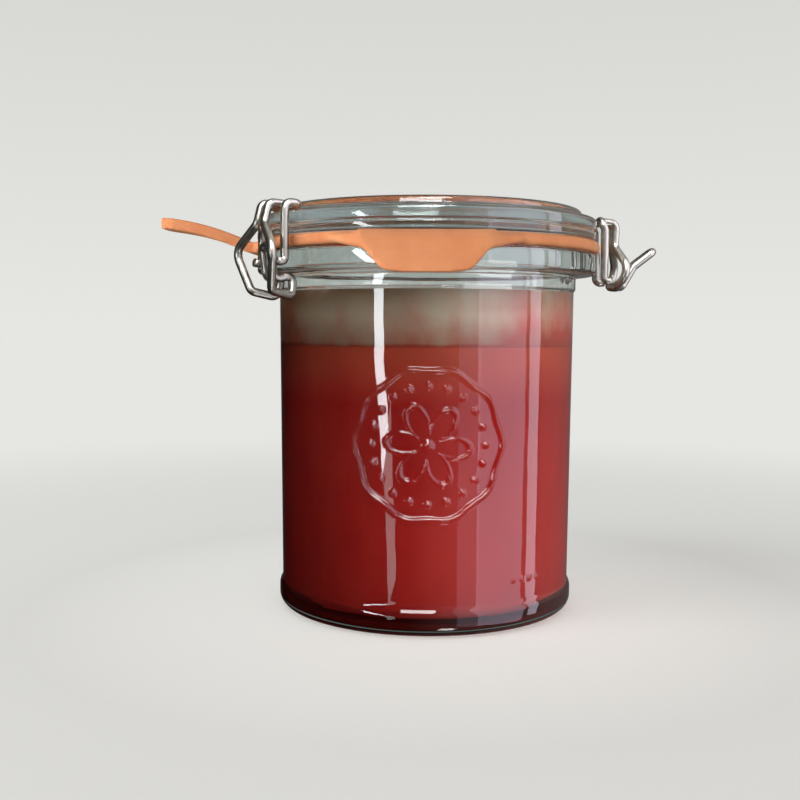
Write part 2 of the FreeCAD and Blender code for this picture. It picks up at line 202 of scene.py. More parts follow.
@dataclass(frozen=True)
class TomatoKetchup:
    """Ketchup: finely milled tomato with vinegar and sugar, wet, nearly opaque, deep red.

    Light goes a millimetre or two into it, which keeps thin edges warm. Pulp gives it faint
    mottling, drawn out upwards. It is painted paler over its top centimetre: partly a paler top of
    its own, partly painted light that makes up for the shade cast by the lip and ring. Against the
    glass it is wetted out and has no gloss of its own. The grain of the pulp is drawn coarser than
    it is, as coarse as it needs to show.
    """

    name: str
    gloss: float
    roughness: float
    deep: str = "a3201d"
    pulp: str = "b02e28"
    # Paler top: partly the sauce's own, partly painted light against the shade under the lip and
    # ring.
    pale: str = "cf5641"
    pale_low_mm: float = 42.0
    pale_high_mm: float = 55.0
    mottle_mm: float = 9.0
    mottle_rise: float = 0.35
    mottle_share: float = 0.5
    grain_mm: float = 0.6
    grain_depth_mm: float = 0.02
    scatter_mm: float = 0.8

    def make(self) -> bpy.types.Material:
        """Builds the material.

        Returns:
            The material.
        """
        material, tree, output = new_material(self.name)
        place = add_node(tree, "ShaderNodeTexCoord").outputs["Object"]
        drawn = add_node(
            tree, "ShaderNodeMapping", {"Scale": (1.0, 1.0, self.mottle_rise)}, {"Vector": place}
        )
        mottle = add_node(
            tree,
            "ShaderNodeTexNoise",
            {"Scale": 1 / (self.mottle_mm * MM), "Detail": 4.0},
            {"Vector": drawn.outputs[0]},
        )
        height = add_node(tree, "ShaderNodeSeparateXYZ", links={0: place})
        # Paler towards the top: partly painted light that offsets the shade under the lip and
        # ring.
        rise = add_node(
            tree,
            "ShaderNodeMapRange",
            spread_inputs((self.pale_low_mm * MM, self.pale_high_mm * MM)),
            {0: height.outputs["Z"]},
        )
        tone = add_node(
            tree,
            "ShaderNodeMath",
            {"operation": "MULTIPLY_ADD", 1: self.mottle_share},
            {0: mottle.outputs[0], 2: rise.outputs[0]},
        )
        colour = add_node(
            tree,
            "ShaderNodeValToRGB",
            links={0: tone.outputs[0]},
            stops=[(0.15, self.deep), (0.35, self.pulp), (1.0, self.pale)],
        )
        grain = add_node(
            tree,
            "ShaderNodeTexNoise",
            {"Scale": 1 / (self.grain_mm * MM), "Detail": 2.0},
            {"Vector": place},
        )
        skin = add_node(
            tree,
            "ShaderNodeBump",
            {"Strength": 0.3, "Distance": self.grain_depth_mm * MM},
            {"Height": grain.outputs[0]},
        )
        sauce = add_node(
            tree,
            "ShaderNodeBsdfPrincipled",
            {
                "Roughness": self.roughness,
                "IOR": 1.38,
                "Specular IOR Level": self.gloss,
                "Subsurface Weight": 0.25,
                "Subsurface Radius": (1.0, 0.22, 0.1),
                "Subsurface Scale": self.scatter_mm * MM,
            },
            {"Base Color": colour.outputs[0], "Normal": skin.outputs[0]},
        )
        tree.links.new(sauce.outputs[0], output.inputs["Surface"])
        return material


@dataclass(frozen=True)
class SauceFilm:
    """Ketchup that ran down the glass: a thin skin, brown-red, blotched and streaked.

    It thins towards its top, and is drawn redder and denser towards the jar's right. It is wetted
    onto the glass, which makes it look darker than its written colours; these are also made paler
    than the film as painted light, to make up for the little light that reaches it inside the jar.
    """

    name: str = "ketchup_film"
    # Written paler than the film: partly its dry colour, partly painted light for the dim inside
    # of the jar.
    thin: str = "ccbca4"
    middle: str = "c08e76"
    thick: str = "c4523f"
    blotch_mm: float = 8.0
    blotch_rise: float = 0.6
    blotch_middle: float = 0.5
    low_mm: float = 52.6
    high_mm: float = 63.0
    fade: Stops = ((0.0, "f4f4f4"), (0.05, "cccccc"), (0.35, "b4b4b4"), (1.0, "8a8a8a"))
    side: Spread = (-4.0 * MM, 24.0 * MM, -0.02, 0.33)
    cover: Spread = (0.1, 0.6, 0.88, 1.0)
    scatter_mm: float = 0.5

    def make(self) -> bpy.types.Material:
        """Builds the material.

        Returns:
            The material.
        """
        material, tree, output = new_material(self.name)
        place = add_node(tree, "ShaderNodeTexCoord").outputs["Object"]
        drawn = add_node(
            tree, "ShaderNodeMapping", {"Scale": (1.0, 1.0, self.blotch_rise)}, {"Vector": place}
        )
        blotches = add_node(
            tree,
            "ShaderNodeTexNoise",
            {"Scale": 1 / (self.blotch_mm * MM), "Detail": 6.0, "Roughness": 0.55},
            {"Vector": drawn.outputs[0]},
        )
        parts = add_node(tree, "ShaderNodeSeparateXYZ", links={0: place})
        rise = add_node(
            tree,
            "ShaderNodeMapRange",
            spread_inputs((self.low_mm * MM, self.high_mm * MM)),
            {0: parts.outputs["Z"]},
        )
        fade = add_node(
            tree, "ShaderNodeValToRGB", links={0: rise.outputs[0]}, stops=self.fade
        )
        side = add_node(
            tree, "ShaderNodeMapRange", spread_inputs(self.side), {0: parts.outputs["X"]}
        )
        lean = add_node(
            tree,
            "ShaderNodeMath",
            {"operation": "ADD"},
            {0: fade.outputs[0], 1: side.outputs[0]},
        )
        amount = add_node(
            tree,
            "ShaderNodeMath",
            {"operation": "ADD"},
            {0: blotches.outputs[0], 1: lean.outputs[0]},
        )
        level = add_node(
            tree,
            "ShaderNodeMath",
            {"operation": "SUBTRACT", 1: self.blotch_middle},
            {0: amount.outputs[0]},
        )
        cover = add_node(
            tree, "ShaderNodeMapRange", spread_inputs(self.cover), {0: level.outputs[0]}
        )
        colour = add_node(
            tree,
            "ShaderNodeValToRGB",
            links={0: level.outputs[0]},
            stops=[(0.3, self.thin), (0.58, self.middle), (0.86, self.thick)],
        )
        coat = add_node(
            tree,
            "ShaderNodeBsdfPrincipled",
            {
                "Roughness": 0.4,
                "IOR": 1.38,
                "Subsurface Weight": 0.6,
                "Subsurface Radius": (1.0, 0.7, 0.5),
                "Subsurface Scale": self.scatter_mm * MM,
            },
            {"Base Color": colour.outputs[0], "Alpha": cover.outputs[0]},
        )
        tree.links.new(coat.outputs[0], output.inputs["Surface"])
        return material


@dataclass(frozen=True)
class NaturalRubber:
    """Natural rubber sheet, dyed orange, punched and dusted: satin, uneven, paler where worn.

    The dusting's grain is finer in fact, and drawn as coarse as it needs to show.
    """

    name: str = "orange_natural_rubber"
    body: str = "d08458"
    bloom: str = "dd9668"
    bloom_mm: float = 6.0
    grain_mm: float = 0.35
    grain_depth_mm: float = 0.04
    smooth: float = 0.42
    rough: float = 0.58
    scatter_mm: float = 1.0

    def make(self) -> bpy.types.Material:
        """Builds the material.

        Returns:
            The material.
        """
        material, tree, output = new_material(self.name)
        place = add_node(tree, "ShaderNodeTexCoord").outputs["Object"]
        bloom = add_node(
            tree,
            "ShaderNodeTexNoise",
            {"Scale": 1 / (self.bloom_mm * MM), "Detail": 4.0},
            {"Vector": place},
        )
        colour = add_node(
            tree,
            "ShaderNodeValToRGB",
            links={0: bloom.outputs[0]},
            stops=[(0.35, self.body), (0.75, self.bloom)],
        )
        grain = add_node(
            tree,
            "ShaderNodeTexNoise",
            {"Scale": 1 / (self.grain_mm * MM), "Detail": 3.0},
            {"Vector": place},
        )
        satin = add_node(
            tree,
            "ShaderNodeMapRange",
            spread_inputs((0.0, 1.0, self.smooth, self.rough)),
            {0: bloom.outputs[0]},
        )
        skin = add_node(
            tree,
            "ShaderNodeBump",
            {"Strength": 0.35, "Distance": self.grain_depth_mm * MM},
            {"Height": grain.outputs[0]},
        )
        rubber = add_node(
            tree,
            "ShaderNodeBsdfPrincipled",
            {
                "IOR": 1.5,
                "Specular IOR Level": 0.3,
                "Subsurface Weight": 0.2,
                "Subsurface Radius": (1.0, 0.4, 0.2),
                "Subsurface Scale": self.scatter_mm * MM,
            },
            {
                "Base Color": colour.outputs[0],
                "Roughness": satin.outputs[0],
                "Normal": skin.outputs[0],
            },
        )
        tree.links.new(rubber.outputs[0], output.inputs["Surface"])
        return material


@dataclass(frozen=True)
class DrawnSteelWire:
    """Stainless spring wire, drawn through a die and bent: bright, with fine marks of both.

    The marks are finer in fact, and drawn as coarse as they need to show.
    """

    name: str = "drawn_stainless_wire"
    colour: str = "aeaaa0"
    mark_mm: float = 1.2
    mark_depth_mm: float = 0.03
    smooth: float = 0.26
    rough: float = 0.44

    def make(self) -> bpy.types.Material:
        """Builds the material.

        Returns:
            The material.
        """
        material, tree, output = new_material(self.name)
        place = add_node(tree, "ShaderNodeTexCoord").outputs["Object"]
        marks = add_node(
            tree,
            "ShaderNodeTexNoise",
            {"Scale": 1 / (self.mark_mm * MM), "Detail": 5.0},
            {"Vector": place},
        )
        polish = add_node(
            tree,
            "ShaderNodeMapRange",
            spread_inputs((0.0, 1.0, self.smooth, self.rough)),
            {0: marks.outputs[0]},
        )
        skin = add_node(
            tree,
            "ShaderNodeBump",
            {"Strength": 0.25, "Distance": self.mark_depth_mm * MM},
            {"Height": marks.outputs[0]},
        )
        steel = add_node(
            tree,
            "ShaderNodeBsdfPrincipled",
            {"Base Color": linear(self.colour), "Metallic": 1.0},
            {"Roughness": polish.outputs[0], "Normal": skin.outputs[0]},
        )
        tree.links.new(steel.outputs[0], output.inputs["Surface"])
        return material


def turned_mesh(
    corners: Sequence[Corner], rows: Callable[[bmesh.types.BMesh], None] | None = None
) -> bmesh.types.BMesh:
    """Turns a rounded outline about the Z axis.

    Args:
        corners: Radius, height and rounding of each corner, in millimetres, from the axis to the
            axis.
        rows: Extra cuts made to the outline before it is turned.

    Returns:
        The turned shape, with its doubles merged and its normals outwards.
    """
    mesh = bmesh.new()
    spots = [mesh.verts.new((r * MM, 0.0, z * MM)) for r, z, _ in corners]
    for here, there in zip(spots, spots[1:]):
        mesh.edges.new((here, there))
    for cut in sorted({c[2] for c in corners if c[2] > 0}):
        chosen = [v for v, c in zip(spots, corners) if c[2] == cut]
        bmesh.ops.bevel(
            mesh,
            geom=chosen,
            offset=cut * MM,
            offset_type="OFFSET",
            segments=ROUND_SEGMENTS[cut >= SMALL_ROUND],
            profile=0.5,
            affect="VERTICES",
            material=-1,
        )
    if rows:
        rows(mesh)
    bmesh.ops.spin(
        mesh,
        geom=mesh.verts[:] + mesh.edges[:],
        cent=(0, 0, 0),
        axis=(0, 0, 1),
        angle=math.tau,
        steps=TURN_STEPS,
        use_merge=True,
    )
    bmesh.ops.remove_doubles(mesh, verts=mesh.verts[:], dist=1e-6)
    bmesh.ops.recalc_face_normals(mesh, faces=mesh.faces[:])
    return mesh


def merged_node(node: str) -> bmesh.types.BMesh:
    """Copies a node of the frame as one closed mesh.

    Args:
        node: The frame's node.

    Returns:
        The copy, with its doubles merged.
    """
    mesh = bmesh.new()
    mesh.from_mesh(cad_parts[node].data)
    bmesh.ops.remove_doubles(mesh, verts=mesh.verts[:], dist=1e-7)
    return mesh


def soften(mesh: bmesh.types.BMesh, verts: Sequence[bmesh.types.BMVert]) -> None:
    """Moves vertices half way to the middle of their neighbours.

    Args:
        mesh: The mesh.
        verts: Its vertices that move.
    """
    bmesh.ops.smooth_vert(
        mesh, verts=verts, factor=0.5, use_axis_x=True, use_axis_y=True, use_axis_z=True
    )


def finished(
    mesh: bmesh.types.BMesh, name: str, material: bpy.types.Material
) -> bpy.types.Object:
    """Makes an object of a mesh, smooth all over.

    Args:
        mesh: The shape, which is freed.
        name: The piece's name.
        material: Its finish.

    Returns:
        The new object.
    """
    data = bpy.data.meshes.new(name)
    for face in mesh.faces:
        face.smooth = True
    mesh.to_mesh(data)
    mesh.free()
    data.materials.append(material)
    piece = bpy.data.objects.new(name, data)
    bpy.context.scene.collection.objects.link(piece)
    return piece


def place_piece(piece: bpy.types.Object, nodes: Sequence[str] = ()) -> None:
    """Fixes a piece to the jar, hides the frame's nodes that it stands for and logs its faces.

    Args:
        piece: The piece.
        nodes: The frame's nodes that it stands for.
    """
    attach(piece, "root")
    if nodes:
        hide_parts(*nodes)
    LOG.info("%s: %d faces", piece.name, len(piece.data.polygons))


def ridge(distance: float, half_width: float) -> float:
    """Gives the height share of a rounded ridge at a distance from its line."""
    share = abs(distance) / half_width
    return 0.0 if share >= 1 else (1 - share * share) ** 1.5


@dataclass
class RaisedMedallion:
    """The raised ornament on the jar's front: a rim, a ring of beads and a small flower.

    The rim has shallow scallops, and the petals are one line that swings out from the button.
    """

    centre_mm: float = 35.0
    azimuth: float = math.radians(1.0)
    reach_mm: float = 15.2
    rim_mm: float = 13.6
    scallops: int = 10
    scallop_mm: float = 0.3
    bead_ring_mm: float = 10.6
    beads: int = 20
    bead_mm: float = 0.8
    petals: int = 6
    petal_turn: float = 0.3
    petal_foot_mm: float = 2.2
    petal_mm: float = 5.4
    petal_width: float = 0.8
    petal_share: float = 0.9
    button_mm: float = 1.3
    line_mm: float = 0.64
    height_mm: float = 0.58

    def height(self, across: float, up: float) -> float:
        """Relief above the wall at a point.

        Args:
            across: Millimetres round the wall from the ornament's middle.
            up: Millimetres above its middle.

        Returns:
            Height in millimetres.
        """
        reach = math.hypot(across, up)
        angle = math.atan2(up, across)
        wave = self.scallop_mm * math.cos(self.scallops * angle)
        rim = ridge(reach - self.rim_mm - wave, self.line_mm)
        pitch = math.tau / self.beads
        near = round(angle / pitch) * pitch
        off_x = across - self.bead_ring_mm * math.cos(near)
        off_y = up - self.bead_ring_mm * math.sin(near)
        bead = ridge(math.hypot(off_x, off_y), self.bead_mm)
        swing = abs(math.cos(angle * self.petals / 2 + self.petal_turn)) ** self.petal_width
        petal = ridge(reach - (self.petal_foot_mm + self.petal_mm * swing), self.line_mm)
        button = ridge(reach, self.button_mm)
        return self.height_mm * max(rim, bead, petal * self.petal_share, button)


@dataclass
class MouldDots:
    """Four raised dots near the heel that tell one mould from the next."""

    centre_mm: float = 9.6
    azimuth: float = math.radians(40.0)
    reach_mm: float = 4.2
    dots: int = 4
    dot_mm: float = 0.62
    pitch_mm: float = 2.0
    height_mm: float = 0.3

    def height(self, across: float, up: float) -> float:
        """Relief above the wall at a point.

        Args:
            across: Millimetres round the wall from the middle of the row.
            up: Millimetres above its middle.

        Returns:
            Height in millimetres.
        """
        last = self.dots // 2
        near = min(max(round(across / self.pitch_mm + 0.5), 1 - last), last) - 0.5
        return self.height_mm * ridge(math.hypot(across - near * self.pitch_mm, up), self.dot_mm)


Relief = RaisedMedallion | MouldDots


@dataclass
class JarGlass:
    """The jar: heel, wall, neck band, lip and cavity, with the ornament on its front."""

    base_hollow: float = 1.2
    hollow_edge: float = 20.3
    foot_ring: float = 22.7
    heel: float = 29.7
    heel_height: float = 4.4
    wall_foot: float = 29.1
    foot_height: float = 5.6
    wall_top: float = 29.6
    wall_height: float = 63.05
    band_proud: float = 0.35
    lip: float = 34.0
    mouth: float = 27.3
    floor: float = 26.5
    floor_height: float = 3.0
    floor_round: float = 1.5
    lip_low: float = 66.3
    height: float = 70.6
    outer_skin: float = 28.5
    row_pitch: float = 0.72
    row_clear: float = 0.4
    relief_clear: float = 0.3
    relief_cuts: int = 3
    reliefs: tuple[Relief, ...] = field(default_factory=lambda: (RaisedMedallion(), MouldDots()))
    finish: PressedGlass = PressedGlass("pressed_jar_glass", "649690", 36.0)

    def corners(self) -> list[Corner]:
        """Gives the outline of the glass.

        Returns:
            Radius, height and rounding of each corner.
        """
        band = self.wall_top + self.band_proud
        return [
            (0, self.base_hollow, 0),
            (self.hollow_edge, self.base_hollow, 0.8),
            (self.foot_ring, 0.0, 0.6),
            (self.heel, 0.0, 2.4),
            (self.heel, self.heel_height, 0.5),
            (self.wall_foot, self.foot_height, 0.5),
            (self.wall_top, self.wall_height, 0.2),
            (band, self.wall_height + self.band_proud, 0.2),
            (band, self.lip_low, 0.9),
            (self.lip, self.lip_low, 0.9),
            (self.lip, self.height, 0.9),
            (self.mouth, self.height, 0.8),
            (self.floor, self.floor_height, self.floor_round),
            (0, self.floor_height, 0),
        ]

    def add_rows(self, mesh: bmesh.types.BMesh) -> None:
        """Cuts the wall's outline into rows where a relief stands on it.

        Args:
            mesh: The outline.
        """
        skin = self.outer_skin * MM
        for relief in self.reliefs:
            low, high = relief.centre_mm - relief.reach_mm, relief.centre_mm + relief.reach_mm
            rows = round((high - low) / self.row_pitch)
            for row in range(rows + 1):
                height = low + (high - low) * row / rows
                if height < self.foot_height + self.row_clear:
                    continue
                outside = [e for e in mesh.edges if min(v.co.x for v in e.verts) > skin]
                bmesh.ops.bisect_plane(
                    mesh,
                    geom=outside + mesh.verts[:],
                    plane_co=(0, 0, height * MM),
                    plane_no=(0, 0, 1),
                    dist=1e-7,
                )

    def raise_relief(self, mesh: bmesh.types.BMesh, relief: Relief) -> None:
        """Divides the wall finely where a relief stands and moves its vertices outwards.

        Args:
            mesh: The jar.
            relief: What stands on its wall.
        """
        reach = relief.reach_mm * MM
        middle = relief.centre_mm * MM
        low = max(middle - reach, (self.foot_height + self.relief_clear) * MM) - 1e-6
        high = middle + reach + 1e-6

        def turn_of(vertex: bmesh.types.BMVert) -> float:
            """Gives the angle of a vertex round the jar from the relief's middle."""
            return math.atan2(vertex.co.x, -vertex.co.y) - relief.azimuth

        def on_patch(vertex: bmesh.types.BMVert) -> bool:
            """Tells whether a vertex lies on the outer wall within the relief's reach.

            Args:
                vertex: A vertex of the jar.

            Returns:
                Whether the relief may move it.
            """
            radius = math.hypot(vertex.co.x, vertex.co.y)
            beside = abs(turn_of(vertex)) * radius < reach
            return radius > self.outer_skin * MM and beside and low < vertex.co.z < high

        faces = [f for f in mesh.faces if all(on_patch(v) for v in f.verts)]
        edges = list(dict.fromkeys(e for f in faces for e in f.edges))
        bmesh.ops.subdivide_edges(mesh, edges=edges, cuts=self.relief_cuts, use_grid_fill=True)
        slope = (self.wall_top - self.wall_foot) / (self.wall_height - self.foot_height)
        for vertex in mesh.verts:
            if not on_patch(vertex):
                continue
            wall = self.wall_foot + slope * (vertex.co.z / MM - self.foot_height)
            up = vertex.co.z / MM - relief.centre_mm
            lift = relief.height(turn_of(vertex) * wall, up)
            scale = (wall + lift) * MM / math.hypot(vertex.co.x, vertex.co.y)
            vertex.co.x *= scale
            vertex.co.y *= scale

    def build(self) -> None:
        """Builds and dresses the jar."""
        mesh = turned_mesh(self.corners(), self.add_rows)
        for relief in self.reliefs:
            self.raise_relief(mesh, relief)
        bmesh.ops.recalc_face_normals(mesh, faces=mesh.faces[:])
        piece = finished(mesh, "jar_glass", self.finish.make())
        place_piece(piece, ["glass_jar"])


@dataclass
class Filling:
    """The ketchup, which reaches just into the glass, and the film that it left above its level.

    The sauce creeps a little up the glass. Most of the film's thickness lies in the glass, so that
    no gap shows, and a few hundredths of a millimetre stand out of it.
    """

    level: float = 52.6
    creep: float = 0.5
    creep_foot: float = 0.12
    creep_width: float = 0.5
    dip: float = 0.1
    dip_width: float = 1.8
    into_glass: float = 0.06
    film_top: float = 63.0
    film_overlap: float = 0.2
    film_into_glass: float = 0.12
    film_thickness: float = 0.16
    jar: JarGlass = field(default_factory=JarGlass)
    sauce: TomatoKetchup = TomatoKetchup("ketchup_against_glass", 0.0, 0.6)
    surface: TomatoKetchup = TomatoKetchup("ketchup_open_surface", 0.5, 0.22, grain_depth_mm=0.08)
    film: SauceFilm = SauceFilm()

    def wall(self, height: float) -> float:
        """Gives the inner radius of the glass at a height, in millimetres."""
        share = (height - self.jar.floor_height) / (self.jar.height - self.jar.floor_height)
        return self.jar.floor + (self.jar.mouth - self.jar.floor) * share

    def corners(self) -> list[Corner]:
        """Gives the outline of the sauce.

        Returns:
            Radius, height and rounding of each corner.
        """
        bottom = self.jar.floor_height - self.into_glass
        edge = self.wall(self.level) + self.into_glass
        return [
            (0, bottom, 0),
            (self.jar.floor + self.into_glass, bottom, self.jar.floor_round),
            (edge, self.level + self.creep, 0),
            (edge - self.creep_width, self.level + self.creep_foot, 0.2),
            (edge - self.dip_width, self.level - self.dip, 0.3),
            (0, self.level - self.dip, 0),
        ]

    def build_sauce(self) -> None:
        """Builds and dresses the sauce, whose open top is glossier than what lies on the glass."""
        body = turned_mesh(self.corners())
        near_top = (self.level - 1) * MM
        for face in body.faces:
            open_top = face.normal.z > 0.3 and face.calc_center_median().z > near_top
            face.material_index = 1 if open_top else 0
        piece = finished(body, "ketchup_filling", self.sauce.make())
        piece.data.materials.append(self.surface.make())
        place_piece(piece, ["ketchup"])

    def build_film(self) -> None:
        """Builds and dresses the film."""
        heights = (self.level - self.film_overlap, self.film_top)
        skin = turned_mesh([(self.wall(z) + self.film_into_glass, z, 0) for z in heights])
        piece = finished(skin, "ketchup_film", self.film.make())
        coat = piece.modifiers.new("thickness", "SOLIDIFY")
        coat.thickness = self.film_thickness * MM
        coat.offset = -1
        place_piece(piece)

    def build(self) -> None:
        """Builds the sauce and its film."""
        self.build_sauce()
        self.build_film()


@dataclass
class LidGlass:
    """The lid: grooved flange, ledge, crown, dish, and a plug inside the ring."""

    radius: float = 34.0
    seat: float = 72.8
    groove_height: float = 1.9
    groove: float = 0.35
    ledge: float = 77.3
    ledge_width: float = 2.7
    top: float = 79.1
    crown_lean: float = 0.5
    crown_width: float = 2.4
    dish_slope: float = 1.2
    dish_depth: float = 1.8
    plug: float = 26.7
    plug_rim: float = 3.4
    plug_depth: float = 1.0
    plug_hollow: float = 1.4
    finish: PressedGlass = PressedGlass("pressed_lid_glass", "649a9c", 14.0, 0.06)

    def corners(self) -> list[Corner]:
        """Gives the outline of the glass.

        Returns:
            Radius, height and rounding of each corner.
        """
        groove = self.seat + self.groove_height
        crown = self.radius - self.ledge_width
        rim = crown - self.crown_lean
        dish = rim - self.crown_width
        hollow = self.plug - self.plug_rim
        plug_low = self.seat - self.plug_depth
        return [
            (0, plug_low + self.plug_hollow, 0),
            (hollow, plug_low + self.plug_hollow, 0.5),
            (hollow + self.plug_hollow, plug_low, 0.4),
            (self.plug, plug_low, 0.35),
            (self.plug, self.seat, 0.2),
            (self.radius, self.seat, 0.6),
            (self.radius, groove - self.groove, 0.1),
            (self.radius - self.groove, groove, 0.2),
            (self.radius, groove + self.groove, 0.1),
            (self.radius, self.ledge, 0.9),
            (crown, self.ledge, 0.7),
            (rim, self.top, 0.8),
            (dish, self.top, 0.6),
            (dish - self.dish_slope, self.top - self.dish_depth, 0.6),
            (0, self.top - self.dish_depth, 0),
        ]

    def build(self) -> None:
        """Builds and dresses the lid."""
        piece = finished(turned_mesh(self.corners()), "lid_glass", self.finish.make())
        place_piece(piece, ["glass_lid"])


@dataclass
class SealRing:
    """The rubber ring with its broad tab and long tongue, soft at every edge.

    A web of rubber, given by its corners at the tab and at the ring, fills each shoulder of the
    tab before everything is made one even mesh and softened.
    """

    voxel: float = 0.24
    low: float = 70.6
    shoulder_in: float = 10.9
    shoulder_out: float = 17.4
    at_tab: Spots = (
        (-34.5, 72.7),
        (-36.8, 72.0),
        (-38.3, 70.6),
        (-38.7, 69.5),
        (-36.6, 69.0),
        (-35.0, 70.2),
        (-33.0, 70.9),
    )
    at_ring: Spots = ((-30.5, 72.2), (-30.7, 71.6), (-30.5, 71.0), (-28.5, 71.0), (-28.5, 72.2))
    front: float = -28.5
    shoulder_zone: tuple[float, float, float] = (9.0, 19.0, 1.9)
    corner_zone: tuple[float, float] = (4.0, -3.0)
    soft_passes: int = 6
    shoulder_passes: int = 60
    finish: NaturalRubber = NaturalRubber()

    def add_shoulder(self, mesh: bmesh.types.BMesh, side: int) -> None:
        """Adds the web of rubber that runs from the ring's edge into the broad tab.

        Args:
            mesh: The ring.
            side: 1 for the right shoulder, -1 for the left one.
        """
        ends = [(self.shoulder_in, y, z) for y, z in self.at_tab]
        ends += [(self.shoulder_out, y, z) for y, z in self.at_ring]
        spots = [mesh.verts.new((side * x * MM, y * MM, z * MM)) for x, y, z in ends]
        hull = bmesh.ops.convex_hull(mesh, input=spots)
        faces = [g for g in hull["geom"] if isinstance(g, bmesh.types.BMFace)]
        bmesh.ops.recalc_face_normals(mesh, faces=faces)

    def on_shoulder(self, place: Vector) -> bool:
        """Tells whether a point is on a shoulder of the broad tab or at one of its corners.

        Args:
            place: The point, in metres.

        Returns:
            Whether it is softened further.
        """
        across = abs(place.x) / MM
        inner, outer, top = self.shoulder_zone
        beside, drop = self.corner_zone
        shoulder = place.z < (self.low + top) * MM and inner < across < outer
        corner = place.z < (self.low + drop) * MM and across > beside
        return place.y < self.front * MM and (shoulder or corner)

    def evened(
        self, blank: bmesh.types.BMesh, material: bpy.types.Material
    ) -> bmesh.types.BMesh:
        """Makes one even mesh of a blank.

        Args:
            blank: The ring and its shoulders, which is freed.
            material: The ring's finish.

        Returns:
            The even mesh.
        """
        rough = finished(blank, "ring_blank", material)
        even = rough.modifiers.new("even_mesh", "REMESH")
        even.mode = "VOXEL"
        even.voxel_size = self.voxel * MM
        evaluated = rough.evaluated_get(bpy.context.evaluated_depsgraph_get())
        soft = bmesh.new()
        soft.from_mesh(evaluated.to_mesh())
        bpy.data.objects.remove(rough)
        return soft

    def build(self) -> None:
        """Builds and dresses the ring."""
        material = self.finish.make()
        blank = merged_node("rubber_ring")
        for side in (1, -1):
            self.add_shoulder(blank, side)
        soft = self.evened(blank, material)
        for _ in range(self.soft_passes):
            soften(soft, soft.verts[:])
        for _ in range(self.shoulder_passes):
            soften(soft, [v for v in soft.verts if self.on_shoulder(v.co)])
        piece = finished(soft, "seal_ring", material)
        place_piece(piece, ["rubber_ring"])


@dataclass
class WireClip:
    """One spring clip, bent from a single wire."""

    node: str
    finish: bpy.types.Material

    def build(self) -> None:
        """Builds and dresses the clip."""
        piece = finished(merged_node(self.node), f"wire_{self.node}", self.finish)
        place_piece(piece, [self.node])


@dataclass
class SoftLamp:
    """A rectangular soft lamp that looks at the jar.

    One that isn't mirrored shows in no reflection. One that is only_mirrored is a card: it shows
    in reflections and lights nothing else. One that isn't through_glass lights nothing that is
    seen through glass. Lengths are in metres and angles in degrees, azimuths from the front.
    """

    name: str
    azimuth: float
    distance: float
    centre: float
    width: float
    height: float
    power: float
    colour: str = "ffffff"
    mirrored: bool = True
    only_mirrored: bool = False
    through_glass: bool = True
    lean: float = 0.0
    aim_height: float = 0.05

    def build(self) -> bpy.types.Object:
        """Adds the lamp.

        Returns:
            The lamp.
        """
        data = bpy.data.lights.new(self.name, "AREA")
        data.shape = "RECTANGLE"
        data.size = self.width
        data.size_y = self.height
        data.energy = self.power
        data.color = linear(self.colour)[:3]
        lamp = bpy.data.objects.new(self.name, data)
        turn = math.radians(self.azimuth)
        across, front = math.sin(turn) * self.distance, -math.cos(turn) * self.distance
        lamp.location = (across, front, self.centre)
        aim = Vector((0, 0, min(self.centre, self.aim_height))) - lamp.location
        facing = aim.to_track_quat("-Z", "Y")
        roll = Quaternion((0, 0, 1), math.radians(self.lean))
        lamp.rotation_euler = (facing @ roll).to_euler()
        lamp.visible_glossy = self.mirrored
        lamp.visible_diffuse = not self.only_mirrored
        lamp.visible_transmission = self.through_glass and not self.only_mirrored
        bpy.context.scene.collection.objects.link(lamp)
        return lamp


# A card shows in reflections and nowhere else, and an unseen lamp shows in none.
card = partial(SoftLamp, only_mirrored=True)
unseen = partial(SoftLamp, mirrored=False)


